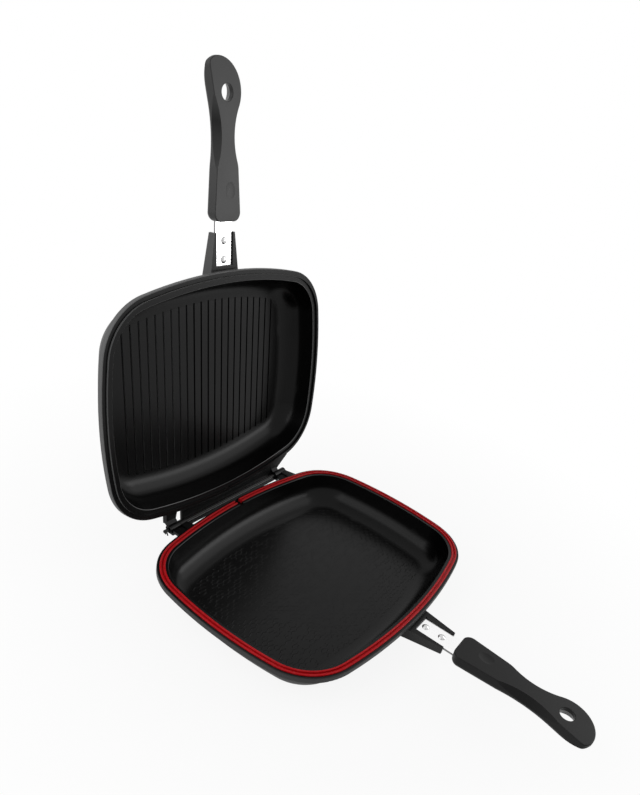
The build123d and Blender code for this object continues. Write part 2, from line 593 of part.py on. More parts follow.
def main():
    os.makedirs("parts", exist_ok=True)
    save("lower_pan", in_lower(lower_pan()))
    save("upper_pan", in_upper(upper_pan()) + stop_heels())
    save("rim_gasket", in_lower(rim_gasket()))
    save("hinge_rod", hinge_rod())
    save("hinge_washer", washer())
    save("split_pin", split_pin(hinge_ends()[2]))
    for half, place in (("lower", in_lower), ("upper", in_upper)):
        save(f"{half}_handle_strap", place(strap()))
        save(f"{half}_rivet_inner", place(strap_rivet(RIVET_PLACES[0])))
        save(f"{half}_rivet_outer", place(strap_rivet(RIVET_PLACES[1])))
        save(f"{half}_grip", place(grip()))
        save(f"{half}_magnet", place(magnet_shape(0)))
        save(f"{half}_grip_screw", place(grip_screw()))


main()
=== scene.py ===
# %% [markdown]
# # A double sided flip pan, dressed
#
# The object is two cast aluminium halves on one hinge, shown standing open. It
# could be modelled again here for looks, but then two shapes would have to be
# kept in step. The solid model already has the right shapes and sizes, so they
# stay as they are. This lesson gives every solid its real finish, grows the fine
# pattern that is cast into the cooking floor, and sets up a small white studio
# around the pan.

# %% Load the solid model and measure it
import json
import math

import bpy
from mathutils import Matrix, Vector


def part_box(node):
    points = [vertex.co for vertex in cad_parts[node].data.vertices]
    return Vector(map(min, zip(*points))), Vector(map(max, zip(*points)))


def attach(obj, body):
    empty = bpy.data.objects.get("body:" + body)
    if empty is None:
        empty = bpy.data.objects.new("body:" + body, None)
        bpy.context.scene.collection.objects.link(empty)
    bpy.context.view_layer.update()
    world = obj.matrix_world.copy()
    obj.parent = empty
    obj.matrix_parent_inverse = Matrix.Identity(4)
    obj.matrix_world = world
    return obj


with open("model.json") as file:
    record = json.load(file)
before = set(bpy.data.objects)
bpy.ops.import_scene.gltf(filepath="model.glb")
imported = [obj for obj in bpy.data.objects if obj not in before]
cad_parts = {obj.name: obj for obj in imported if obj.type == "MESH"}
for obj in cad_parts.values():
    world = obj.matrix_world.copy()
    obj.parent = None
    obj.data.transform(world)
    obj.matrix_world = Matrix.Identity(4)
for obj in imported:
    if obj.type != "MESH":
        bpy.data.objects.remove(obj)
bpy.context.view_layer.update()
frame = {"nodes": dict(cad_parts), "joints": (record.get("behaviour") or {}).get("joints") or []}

# %% [markdown]
# ## How the finishes are written
#
# A finish is a small network of shader nodes. Pictures wrapped round each piece
# would be another way, but they need unwrapping and blur when the camera comes
# close. A network has no such limit. Writing one node by node is long, so a few
# helpers do the typing: they make a node, fill in or link its sockets, and give
# back the output that is used next. Every pattern reads Object coordinates, which
# are metres here because no piece is turned or scaled. So a noise with a grain of
# one millimetre has spots about one millimetre across.

# %% Helpers that make nodes
MILLI = 0.001


def fill(tree, socket, value):
    """Links a socket to an output, or sets it to a plain value."""
    if isinstance(value, bpy.types.NodeSocket):
        tree.links.new(value, socket)
    else:
        socket.default_value = value


def node(tree, kind, settings=None, **sockets):
    """A node with its settings made and its sockets filled."""
    made = tree.nodes.new(kind)
    for key, value in (settings or {}).items():
        setattr(made, key, value)
    for key, value in sockets.items():
        fill(tree, made.inputs[key.replace("_", " ")], value)
    return made


print("node helpers: fill and node")

# %% Helpers for arithmetic
def maths(tree, operation, *values):
    """One step of arithmetic with numbers or sockets."""
    made = node(tree, "ShaderNodeMath", {"operation": operation})
    for socket, value in zip(made.inputs, values):
        fill(tree, socket, value)
    return made.outputs[0]


def vectors(tree, operation, first, second, output="Vector"):
    """One step of arithmetic with two vectors."""
    made = node(tree, "ShaderNodeVectorMath", {"operation": operation})
    fill(tree, made.inputs[0], first)
    fill(tree, made.inputs[1], second)
    return made.outputs[output]


def dot(tree, first, second):
    """How far one vector goes along the other."""
    return vectors(tree, "DOT_PRODUCT", first, second, "Value")


def parts(tree, vector):
    """The X, Y and Z of a vector, by name."""
    return node(tree, "ShaderNodeSeparateXYZ", Vector=vector).outputs


print("arithmetic helpers: maths, vectors, dot and parts")

# %% Helpers for patterns and masks
def grey(value):
    """A colour without a hue."""
    return (value, value, value, 1.0)


def noise(tree, place, grain, detail=2.0, stretch=(1, 1, 1)):
    """Cloudy noise, from 0 to 1, with its grains about so many metres across."""
    moved = node(tree, "ShaderNodeMapping", Vector=place, Scale=stretch)
    return node(tree, "ShaderNodeTexNoise", Vector=moved.outputs[0],
                Scale=1 / grain, Detail=detail).outputs["Fac"]


def spread(tree, value, low, high, start=0.0, end=1.0):
    """A value moved from the range start to end into low to high, and held inside it."""
    return node(tree, "ShaderNodeMapRange", {"clamp": True}, Value=value,
                From_Min=start, From_Max=end, To_Min=low, To_Max=high).outputs[0]


def rises(tree, value, start, end):
    """Zero below the start, one past the end."""
    return spread(tree, value, 0.0, 1.0, start, end)


def falls(tree, value, start, end):
    """One below the start, zero past the end."""
    return spread(tree, value, 1.0, 0.0, start, end)


def both(tree, first, *others):
    """Masks multiplied together, so each of them can hide a place."""
    for other in others:
        first = maths(tree, "MULTIPLY", first, other)
    return first


print("pattern helpers: grey, noise, spread, rises, falls and both")

# %% Helpers for blends and relief
def blend_colour(tree, factor, first, second):
    """A colour that goes from the first to the second with the factor."""
    mix = node(tree, "ShaderNodeMix", {"data_type": "RGBA"})
    for number, value in ((0, factor), (6, first), (7, second)):
        fill(tree, mix.inputs[number], value)
    return mix.outputs[2]


def blend_value(tree, factor, first, second):
    """A number that goes from the first to the second with the factor."""
    mix = node(tree, "ShaderNodeMix", {"data_type": "FLOAT"})
    for number, value in ((0, factor), (2, first), (3, second)):
        fill(tree, mix.inputs[number], value)
    return mix.outputs[0]


def relief(tree, height, depth, under=None):
    """Fine relief so many metres deep, on top of another one if it is given."""
    bump = node(tree, "ShaderNodeBump", Height=height, Distance=depth, Strength=1.0)
    if under is not None:
        tree.links.new(under, bump.inputs["Normal"])
    return bump.outputs[0]


print("surface helpers: blend_colour, blend_value and relief")

# %% Start a finish, and put it on solids
def new_finish(name):
    """An empty material with its shader, and the Object coordinates and normal."""
    material = bpy.data.materials.new(name)
    material.use_nodes = True
    tree = material.node_tree
    tree.nodes.clear()
    output = tree.nodes.new("ShaderNodeOutputMaterial")
    shader = tree.nodes.new("ShaderNodeBsdfPrincipled")
    tree.links.new(shader.outputs[0], output.inputs["Surface"])
    where = tree.nodes.new("ShaderNodeTexCoord").outputs
    return material, tree, shader, where["Object"], where["Normal"]


def dress(material, slot, *names):
    """Puts a finish on solids, through their material slots."""
    for name in names:
        piece = frame["nodes"][name]
        piece.material_slots[0].link = "OBJECT"
        piece.material_slots[0].material = material
    print(material.name, "on", ", ".join(names), "from slot", slot)


print("finish helpers: new_finish and dress")

# %% [markdown]
# ## Places that both halves share
#
# The lid has the outline and the handle of the lower half, mirrored and turned
# open about the hinge pin. Places on the lid could be measured one by one, but
# they would be wrong as soon as a size changed. So a point is written once, on
# the lower half, and one function says where it lies on the open lid. The middle
# of each half's mouth is found this way, and it tells a finish what is inside the
# pan and what is outside.

# %% The hinge and the two mouths
UP = Vector((0, 0, 1))
hinge = frame["joints"][0]
pivot = Vector(hinge["pos_m"])
opening = Matrix.Rotation(-math.radians(hinge["range_deg"][1]), 3, Vector(hinge["axis"]))
lower_mouth = Vector((0, 0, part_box("lower_pan")[1].z))


def on_lid(point):
    """Where a point of the lower half lies on the open lid."""
    mirrored = Vector((point.x, point.y, 2 * lower_mouth.z - point.z))
    return pivot + opening @ (mirrored - pivot)


upper_mouth = on_lid(lower_mouth)
lid_out = opening @ -UP
print("mouths at", [round(v, 3) for v in lower_mouth], "and",
      [round(v, 3) for v in upper_mouth])
print("the lid opens towards", [round(v, 3) for v in lid_out])

# %% [markdown]
# ## The coating on the cast halves
#
# Both halves are cast aluminium, sprayed and baked. Inside is a black non-stick
# coat with a soft gloss: it is nearly without a colour of its own, and shows
# mostly what it mirrors. Outside is a duller paint, which looks greyer. The spray
# dries with a slight orange peel, and tiny flecks in it catch the light.
#
# Four more tones are painted light and shade, set until the pan looked right
# from the camera: painted light makes the flat floor a little greyer and the
# lid's paint paler, painted shade keeps the paint off near the hinge, and a
# painted highlight makes the edges of the rims lighter. Four more tones are
# guesses, set until the pan looked right from the camera: a flat floor that is a
# little greyer, a paler paint on the lid, none near the hinge, and lighter edges
# on the rims. They are the first numbers to change for another studio.
#
# These could be four materials, but the borders between them would then have to
# follow mesh faces. One material with masks is simpler: each mask asks which way
# the surface looks, or how far it is from the mouth or the pin. Both are read in
# the half's own coordinates, so the masks stay in place when the lid closes.

# %% Where each coat lies
OUTSIDE_FROM = (0.015, 0.050)    # metres that a face looks past the mouth's middle
BACK_FROM = (-0.5, -0.2)         # how squarely a face looks out; behind this it is outside
PAINT_PAST_HINGE_SHADE = (0.020, 0.026)  # metres from the pin over which painted shade gives way to the paint
FLOOR_FROM = (0.960, 0.995)      # how squarely the cooking floor looks out; it gets painted light
EDGE_LEVEL = (0.003, 0.004)      # metres from the mouth's level, for the painted edge highlight
EDGE_TILT = (0.50, 0.65)         # how squarely an edge with a painted highlight looks out
LEDGE_TILT = (0.85, 0.95)        # and the flat ledge beside it, which gets no painted highlight


def coat_masks(tree, place, normal, mouth, straight_out):
    """Masks for the outside paint, left off near the pin as painted shade, for painted light on
    the cooking floor, and for a painted highlight on the rim's edges.
    """
    spoke = vectors(tree, "SUBTRACT", place, mouth)
    square_on = dot(tree, normal, straight_out)
    outward = rises(tree, dot(tree, spoke, normal), *OUTSIDE_FROM)
    outside = maths(tree, "MAXIMUM", outward, falls(tree, square_on, *BACK_FROM))

    # near the pin the outside paint is left off: painted shade round the hinge
    # the pin runs along X, so the distance from it is in Y and Z alone
    offset = parts(tree, vectors(tree, "SUBTRACT", place, pivot))
    square = maths(tree, "MULTIPLY", offset["Y"], offset["Y"])
    square = maths(tree, "MULTIPLY_ADD", offset["Z"], offset["Z"], square)
    painted = rises(tree, maths(tree, "SQRT", square), *PAINT_PAST_HINGE_SHADE)

    # a painted highlight along the rim's edges, near the mouth's level
    level = maths(tree, "ABSOLUTE", dot(tree, spoke, straight_out))
    painted_edge_highlight = both(tree, falls(tree, level, *EDGE_LEVEL), rises(tree, square_on, *EDGE_TILT),
                falls(tree, square_on, *LEDGE_TILT), painted)
    # painted light on the flat floor, which looks squarely out
    floor = rises(tree, square_on, *FLOOR_FROM)
    return both(tree, outside, painted), floor, painted_edge_highlight


print("outside paint starts", PAINT_PAST_HINGE_SHADE[0] / MILLI, "mm from the pin")

# %% Tones, gloss and grains of the coating
INSIDE_BLACK = grey(0.0008)
# painted light: the flat floor's black is a little greyer
FLOOR_BLACK_PAINTED_LIGHT = grey(0.006)
INSIDE_FLECK = grey(0.010)
LOWER_PAINT = 0.042
# painted light: the lid's paint is paler than the lower half's
LID_PAINT_PAINTED_LIGHT = 0.090
PAINT_CLOUD = 1.3               # the lightest clouds, as a share of the paint's tone
# painted highlight on the rims' edges, paler on the lid as painted light
LOWER_EDGE_HIGHLIGHT = 0.03
LID_EDGE_HIGHLIGHT = 0.12
COAT_GLOSS = 0.14
INSIDE_ROUGHNESS = (0.24, 0.28)
OUTSIDE_ROUGHNESS = (0.46, 0.52)
CLOUD = 60 * MILLI
FLECK = 0.45 * MILLI
FLECK_SHARE = (0.70, 0.80)      # the noise that stands out as a fleck
ORANGE_PEEL = 2.2 * MILLI
ORANGE_PEEL_DEPTH = 0.020 * MILLI
GRAIN = 0.8 * MILLI
GRAIN_DEPTH = 0.014 * MILLI
print("paint is", LOWER_PAINT, "on the lower half and", LID_PAINT_PAINTED_LIGHT, "on the lid")

# %% The coating
def coating(name, mouth, straight_out, paint, edge_highlight):
    """The coats of one half. mouth is the point in the middle of its open side,
    straight_out the way it opens, paint the tone of the outside, with painted light
    on the lid, and edge_highlight the tone of the highlight painted on the rim's
    edges."""
    material, tree, shader, place, normal = new_finish(name)
    outside, floor, painted_edge_highlight = coat_masks(tree, place, normal, mouth, straight_out)
    cloud = noise(tree, place, CLOUD, 3)
    fleck = rises(tree, noise(tree, place, FLECK, 1), *FLECK_SHARE)
    # painted light makes the flat floor's black a little greyer
    black = blend_colour(tree, floor, INSIDE_BLACK, FLOOR_BLACK_PAINTED_LIGHT)
    inner = blend_colour(tree, fleck, black, INSIDE_FLECK)
    outer = blend_colour(tree, cloud, grey(paint), grey(PAINT_CLOUD * paint))
    coat = blend_colour(tree, outside, inner, outer)
    # a painted highlight makes the rim's edges a paler grey
    fill(tree, shader.inputs["Base Color"], blend_colour(tree, painted_edge_highlight, coat, grey(edge_highlight)))

    rough = blend_value(tree, outside, spread(tree, cloud, *INSIDE_ROUGHNESS),
                        spread(tree, cloud, *OUTSIDE_ROUGHNESS))
    fill(tree, shader.inputs["Roughness"], rough)
    shader.inputs["Specular IOR Level"].default_value = COAT_GLOSS
    peel = relief(tree, noise(tree, place, ORANGE_PEEL), ORANGE_PEEL_DEPTH)
    fill(tree, shader.inputs["Normal"],
         relief(tree, noise(tree, place, GRAIN), GRAIN_DEPTH, peel))
    return material


lower_coat = coating("black_coating_lower", lower_mouth, UP, LOWER_PAINT, LOWER_EDGE_HIGHLIGHT)
# the lid gets paler paint and a brighter edge highlight: painted light
upper_coat = coating("black_coating_upper", upper_mouth, lid_out, LID_PAINT_PAINTED_LIGHT, LID_EDGE_HIGHLIGHT)
dress(lower_coat, "coated_aluminium", "lower_pan")
dress(upper_coat, "coated_aluminium", "upper_pan")

# %% [markdown]
# ## The red silicone seal
#
# The seal is a soft extrusion pressed into the channel of the lower rim, with
# two lips and a groove between them. Silicone is dull, a little see-through at
# its thin lips, and always slightly dusty. A plain red would do from far away,
# but it looks like paint from near by. So the colour is a deep red with a paler
# film in patches, the gloss is broad and weak, and a touch of light passes under
# the surface.

# %% The silicone
DEEP_RED = (0.40, 0.004, 0.008, 1)
BRIGHT_RED = (0.48, 0.006, 0.010, 1)
DUSTY_RED = (0.50, 0.05, 0.05, 1)
RED_CLOUD = 8 * MILLI
DUST_GRAIN = 4 * MILLI
DUST_PATCHES = (0.45, 0.75)     # the noise between clean and dusty silicone
DUST_MOST = 0.22
SKIN_GRAIN = 1.2 * MILLI
SKIN_DEPTH = 0.008 * MILLI
SILICONE_ROUGHNESS = (0.28, 0.38)
SILICONE_GLOSS = 0.12
SEE_THROUGH = 0.08              # the share of light that passes under the surface
RED_GREEN_BLUE_REACH = (4 * MILLI, 0.8 * MILLI, 0.6 * MILLI)


def silicone(name):
    """Dull red silicone with a film of dust."""
    material, tree, shader, place, _ = new_finish(name)
    cloud = noise(tree, place, RED_CLOUD, 3)
    dust = spread(tree, noise(tree, place, DUST_GRAIN, 1), 0.0, DUST_MOST, *DUST_PATCHES)
    red = blend_colour(tree, cloud, DEEP_RED, BRIGHT_RED)
    fill(tree, shader.inputs["Base Color"], blend_colour(tree, dust, red, DUSTY_RED))
    fill(tree, shader.inputs["Roughness"], spread(tree, cloud, *SILICONE_ROUGHNESS))
    fill(tree, shader.inputs["Normal"],
         relief(tree, noise(tree, place, SKIN_GRAIN), SKIN_DEPTH))
    shader.inputs["Specular IOR Level"].default_value = SILICONE_GLOSS
    shader.inputs["Subsurface Weight"].default_value = SEE_THROUGH
    shader.inputs["Subsurface Radius"].default_value = RED_GREEN_BLUE_REACH
    return material


dress(silicone("red_silicone_seal"), "red_silicone", "rim_gasket")

# %% [markdown]
# ## The steel pieces
#
# The straps are stamped from stainless sheet and polished along their length,
# which leaves hair-fine lines. Their sides are sheared by the punch and are drawn
# darker: partly the duller sheared metal, partly painted shade. The rivets are
# set with a snap tool, so they have no lines. The hinge hardware is wire and
# sheet, and is drawn nearly black. It is shown as a dark plating, which is a
# guess. The magnets and screws have tones between. Each could be a recipe of its
# own, but they differ in a few numbers only. So one function makes all five:
# noise stretched along the polishing gives the lines, and a face that looks
# straight along X is taken for a side and drawn darker.

# %% Steel
STEEL_LINE = 0.35 * MILLI
STEEL_CLOUD = 14 * MILLI
CLOUD_LIFT = 1.08               # the lightest clouds, as a share of the tone
SHEARED_AND_SHADED_SHARE = 0.25            # the tone of a sheared side, darkened by painted shade too, as a share of the tone
SHEARED_FROM = (0.5, 0.9)       # how squarely a sheared side looks along X
LINE_NOISE = (0.3, 0.7)         # the noise from the smoothest to the roughest line
NO_LINES = (1, 1, 1)
ALONG_STRAP = (1, 0.02, 0.02)
ALONG_ROD = (0.05, 1, 1)


def steel(name, tone, roughness, stretch, depth):
    """Metal. stretch says which way the polishing runs, and depth is its relief in metres."""
    material, tree, shader, place, normal = new_finish(name)
    lines = noise(tree, place, STEEL_LINE, 2, stretch)
    cloud = noise(tree, place, STEEL_CLOUD, 3)
    polished = blend_colour(tree, cloud, grey(tone), grey(min(1.0, tone * CLOUD_LIFT)))
    # a face that looks along X is drawn darker: partly duller sheared metal, partly painted shade
    sideways = maths(tree, "ABSOLUTE", parts(tree, normal)["X"])
    sheared_and_shaded = rises(tree, sideways, *SHEARED_FROM)
    colour = blend_colour(tree, sheared_and_shaded, polished, grey(SHEARED_AND_SHADED_SHARE * tone))
    fill(tree, shader.inputs["Base Color"], colour)
    fill(tree, shader.inputs["Roughness"], spread(tree, lines, *roughness, *LINE_NOISE))
    fill(tree, shader.inputs["Normal"], relief(tree, lines, depth))
    shader.inputs["Metallic"].default_value = 1.0
    return material


strap_steel = steel("polished_strap_steel", 0.88, (0.14, 0.26), ALONG_STRAP, 0.003 * MILLI)
rivet_steel = steel("rivet_steel", 0.60, (0.20, 0.32), NO_LINES, 0.004 * MILLI)
# the hinge pieces are drawn nearly black
hinge_steel = steel("near_black_hinge_steel", 0.02, (0.25, 0.40), ALONG_ROD, 0.004 * MILLI)
magnet_steel = steel("magnet_face", 0.12, (0.30, 0.45), NO_LINES, 0.006 * MILLI)
screw_steel = steel("screw_steel", 0.55, (0.22, 0.35), NO_LINES, 0.004 * MILLI)
dress(strap_steel, "stainless", "lower_handle_strap", "upper_handle_strap")
dress(rivet_steel, "stainless", "lower_rivet_inner", "lower_rivet_outer",
      "upper_rivet_inner", "upper_rivet_outer")
dress(hinge_steel, "stainless", "hinge_rod", "hinge_washer", "split_pin")
dress(magnet_steel, "magnet_steel", "lower_magnet", "upper_magnet")
dress(screw_steel, "stainless", "lower_grip_screw", "upper_grip_screw")

# %% [markdown]
# ## The moulded grips
#
# The grips are pressed from black phenolic, the hard plastic that stands the
# heat. It comes out of a matt mould with a fine even grain and a few pale specks
# of filler. The lower grip is drawn darker than the upper one: the two tones are
# painted shade and painted light on one plastic. The scoop in the side of each
# waist is drawn nearly black, which is painted shade in the hollow. The lower
# grip is shown darker than the upper one, and the scoop in the side of each waist
# nearly black, as if fingers had polished it. Both are guesses, and shade could
# look the same. The scoop's shade could have a material of its own, but it fades
# out slowly, and a border between two materials is sharp. So a mask finds it by
# its place and by the way it leans, between the flat face and the upright side.

# %% Find the scoop
WAIST = Vector((-0.018, -0.268, 0.036))  # middle of the lower grip's scoop
SCOOP_REACH = (0.018, 0.034)   # metres from there, over which the painted shade ends
SCOOP_TILT = (0.10, 0.25)      # how far the scoop leans towards the flat face
FLAT_TILT = (0.85, 0.95)       # the flat face itself, which gets no painted shade
SCOOP_SIDE = (0.25, 0.45)      # how far the scoop looks to the left
LEFT = (-1, 0, 0)


def scoop_shade(tree, place, normal, waist, flat_way):
    """One in the finger scoop of a grip, where shade is painted, and zero elsewhere."""
    spoke = vectors(tree, "SUBTRACT", place, waist)
    away = node(tree, "ShaderNodeVectorMath", {"operation": "LENGTH"}, Vector=spoke)
    lean = dot(tree, normal, flat_way)
    return both(tree, falls(tree, away.outputs["Value"], *SCOOP_REACH),
                rises(tree, lean, *SCOOP_TILT), falls(tree, lean, *FLAT_TILT),
                rises(tree, dot(tree, normal, LEFT), *SCOOP_SIDE))


print("scoops at", [round(v, 3) for v in WAIST], "and", [round(v, 3) for v in on_lid(WAIST)])

# %% Phenolic
HAND_CLOUD = 35 * MILLI
GRIP_ROUGHNESS = (0.32, 0.40)
SPECK = 0.4 * MILLI
SPECK_SHARE = (0.66, 0.78)      # the noise that stands out as a speck
SPECK_LIFT = 1.8
MOULD_GRAIN = 0.55 * MILLI
MOULD_DEPTH = 0.012 * MILLI
SCOOP_SHADE_SHARE = 0.05              # the tone of the painted shade in the scoop, as a share of the tone


def phenolic(name, tone, gloss, waist, flat_way):
    """The plastic of one grip. flat_way is the way its flat face looks."""
    material, tree, shader, place, normal = new_finish(name)
    speck = rises(tree, noise(tree, place, SPECK, 1), *SPECK_SHARE)
    plastic = blend_colour(tree, speck, grey(tone), grey(SPECK_LIFT * tone))
    # the scoop gets painted shade, nearly black
    painted_scoop_shade = scoop_shade(tree, place, normal, waist, flat_way)
    fill(tree, shader.inputs["Base Color"],
         blend_colour(tree, painted_scoop_shade, plastic, grey(SCOOP_SHADE_SHARE * tone)))
    cloud = noise(tree, place, HAND_CLOUD)
    fill(tree, shader.inputs["Roughness"], spread(tree, cloud, *GRIP_ROUGHNESS))
    shader.inputs["Specular IOR Level"].default_value = gloss
    fill(tree, shader.inputs["Normal"],
         relief(tree, noise(tree, place, MOULD_GRAIN), MOULD_DEPTH))
    return material


# one plastic in two tones: painted shade on the lower grip, painted light on the upper
lower_plastic_painted_shade = phenolic("phenolic_painted_shade_lower", 0.006, 0.17, WAIST, UP)
upper_plastic_painted_light = phenolic("phenolic_painted_light_upper", 0.032, 0.20, on_lid(WAIST), lid_out)
dress(lower_plastic_painted_shade, "black_phenolic", "lower_grip")
dress(upper_plastic_painted_light, "black_phenolic", "upper_grip")

# %% [markdown]
# ## The cast ripples of the cooking floor
#
# The floor of the lower half isn't plain. A net of low wavy ridges is cast into
# it, so that food lifts off easily. Modelling dozens of rows by hand is slow, and
# a bump in the material would leave the mesh smooth. So Geometry Nodes grow real
# ridges from a few sizes. The tree has four steps:
#
# 1. a grid whose cross edges are deleted gives straight rows,
# 2. a sine bends them, upside down on every second row, so that the waves meet
#    as a net, and a little noise makes them wander as cast metal does,
# 3. points are deleted where a ray straight down doesn't meet the flat floor, and
#    where a second noise leaves a gap,
# 4. what is left becomes curves with a low arch as their profile.

# %% Sizes of the ripples
RIPPLE_SIZES = {
    "Row Pitch": 4.2 * MILLI,
    "Wave Length": 9.5 * MILLI,
    "Wave Height": 0.75 * MILLI,
    "Wander": 1.2 * MILLI,
    "Ridge Width": 1.0 * MILLI,
    "Ridge Height": 0.28 * MILLI,
    "Floor Level": 5.0 * MILLI,
}
RIPPLE_ROWS = 57
RIPPLE_STEPS = 240
RIPPLE_SPAN = 300 * MILLI
SAME_ROW = 0.1 * MILLI         # an edge that climbs more than this joins two rows
WANDER_GRAIN = 6 * MILLI
GAP_GRAIN = 5 * MILLI
GAP_STRETCH = (0.35, 1.0, 1.0)  # the unbroken lengths are longer along the rows
GAP_SHARE = 0.44               # noise below this breaks the ridge
RAY_START = (0, 0, 20 * MILLI)  # above the rows
RAY_LENGTH = 60 * MILLI
DOWN = (0, 0, -1)
FLOOR_MISS = 0.02 * MILLI      # a ray that ends further off the floor has hit the cove
ARCH_POINTS = 5
print(RIPPLE_ROWS, "rows,", RIPPLE_SIZES["Row Pitch"] / MILLI, "mm apart")

# %% Steps 1 and 2: rows, and waves
def straight_rows(tree, given):
    """Rows of edges along X, from a grid without its cross edges."""
    depth = maths(tree, "MULTIPLY", given["Row Pitch"], RIPPLE_ROWS - 1)
    grid = node(tree, "GeometryNodeMeshGrid", Size_X=RIPPLE_SPAN, Size_Y=depth,
                Vertices_X=RIPPLE_STEPS, Vertices_Y=RIPPLE_ROWS)
    ends = tree.nodes.new("GeometryNodeInputMeshEdgeVertices").outputs
    climb = maths(tree, "SUBTRACT", parts(tree, ends["Position 1"])["Y"],
                  parts(tree, ends["Position 2"])["Y"])
    across = maths(tree, "GREATER_THAN", maths(tree, "ABSOLUTE", climb), SAME_ROW)
    rows = node(tree, "GeometryNodeDeleteGeometry", {"domain": "EDGE", "mode": "EDGE_FACE"},
                Geometry=grid.outputs["Mesh"], Selection=across)
    return rows.outputs[0]


def waved_rows(tree, given, rows, spot):
    """The rows bent into waves, every second one upside down, at the floor's level."""
    place = parts(tree, spot)
    row = maths(tree, "ROUND", maths(tree, "DIVIDE", place["Y"], given["Row Pitch"]))
    odd = maths(tree, "PINGPONG", row, 1.0)
    side = maths(tree, "SUBTRACT", 1.0, maths(tree, "MULTIPLY", odd, 2.0))
    turns = maths(tree, "DIVIDE", place["X"], given["Wave Length"])
    swing = maths(tree, "SINE", maths(tree, "MULTIPLY", turns, 2 * math.pi))
    push = both(tree, swing, side, given["Wave Height"])
    drift = node(tree, "ShaderNodeTexNoise", Vector=spot, Scale=1 / WANDER_GRAIN, Detail=1.0)
    drift = maths(tree, "SUBTRACT", drift.outputs["Fac"], 0.5)
    push = maths(tree, "MULTIPLY_ADD", drift, given["Wander"], push)
    shift = node(tree, "ShaderNodeCombineXYZ", Y=push, Z=given["Floor Level"])
    return node(tree, "GeometryNodeSetPosition", Geometry=rows,
                Offset=shift.outputs[0]).outputs[0]


print("steps of the tree: straight_rows, waved_rows")

# %% Steps 3 and 4: gaps, and ridges
def broken_rows(tree, given, rows, spot, pan):
    """The rows without the points that stand over a cove or in a gap."""
    floor = node(tree, "GeometryNodeObjectInfo", {"transform_space": "ORIGINAL"}, Object=pan)
    ray = node(tree, "GeometryNodeRaycast", Source_Position=vectors(tree, "ADD", spot, RAY_START),
               Ray_Direction=DOWN, Ray_Length=RAY_LENGTH)
    tree.links.new(floor.outputs["Geometry"], ray.inputs["Target Geometry"])
    drop = parts(tree, ray.outputs["Hit Position"])["Z"]
    off = maths(tree, "ABSOLUTE", maths(tree, "SUBTRACT", drop, given["Floor Level"]))
    climbing = maths(tree, "GREATER_THAN", off, FLOOR_MISS)
    patch = node(tree, "ShaderNodeTexNoise", Scale=1 / GAP_GRAIN, Detail=0.0,
                 Vector=vectors(tree, "MULTIPLY", spot, GAP_STRETCH))
    gap = maths(tree, "LESS_THAN", patch.outputs["Fac"], GAP_SHARE)
    kept = node(tree, "GeometryNodeDeleteGeometry", {"domain": "POINT"},
                Geometry=rows, Selection=maths(tree, "MAXIMUM", climbing, gap))
    return kept.outputs[0]


def arched_ridges(tree, given, rows):
    """The rows as ridges: each is a curve with a low arch along it, bulge up."""
    line = node(tree, "GeometryNodeMeshToCurve", Mesh=rows)
    half = maths(tree, "MULTIPLY", given["Ridge Width"], 0.5)
    arch = node(tree, "GeometryNodeCurveArc", {"mode": "RADIUS"}, Resolution=ARCH_POINTS,
                Radius=1.0, Start_Angle=math.pi, Sweep_Angle=math.pi)
    size = node(tree, "ShaderNodeCombineXYZ", X=half, Y=given["Ridge Height"], Z=1.0)
    shaped = node(tree, "GeometryNodeTransform", Geometry=arch.outputs[0],
                  Scale=size.outputs[0])
    upright = node(tree, "GeometryNodeSetCurveNormal", {"mode": "Z_UP"}, Curve=line.outputs[0])
    return node(tree, "GeometryNodeCurveToMesh", Curve=upright.outputs[0],
                Profile_Curve=shaped.outputs[0]).outputs[0]


print("steps of the tree: broken_rows, arched_ridges")

# %% The whole tree
def ripple_tree(pan, finish):
    """Wavy ridges in rows on the flat floor of the pan."""
    tree = bpy.data.node_groups.new("cast_ripples", "GeometryNodeTree")
    face = tree.interface
    face.new_socket("Geometry", in_out="INPUT", socket_type="NodeSocketGeometry")
    for label in RIPPLE_SIZES:
        face.new_socket(label, in_out="INPUT", socket_type="NodeSocketFloat")
    face.new_socket("Geometry", in_out="OUTPUT", socket_type="NodeSocketGeometry")
    given = tree.nodes.new("NodeGroupInput").outputs
    result = tree.nodes.new("NodeGroupOutput")
    spot = tree.nodes.new("GeometryNodeInputPosition").outputs[0]

    rows = waved_rows(tree, given, straight_rows(tree, given), spot)
    rows = broken_rows(tree, given, rows, spot, pan)
    ridges = arched_ridges(tree, given, rows)
    solid = node(tree, "GeometryNodeRealizeInstances", Geometry=ridges)
    painted = node(tree, "GeometryNodeSetMaterial", Geometry=solid.outputs[0], Material=finish)
    tree.links.new(painted.outputs[0], result.inputs["Geometry"])
    return tree


cast_ripples = ripple_tree(frame["nodes"]["lower_pan"], lower_coat)
print(cast_ripples.name, "has", len(cast_ripples.nodes), "nodes and", len(RIPPLE_SIZES), "sizes")

# %% [markdown]
# ## From a live tree to a plain mesh
#
# A modifier is live: it would run again whenever the file is opened. The piece
# has to be a plain mesh instead, so the tree runs once on an empty mesh, and the
# evaluated result is copied out. The inputs are set by their identifiers, because
# two inputs may have the same name.

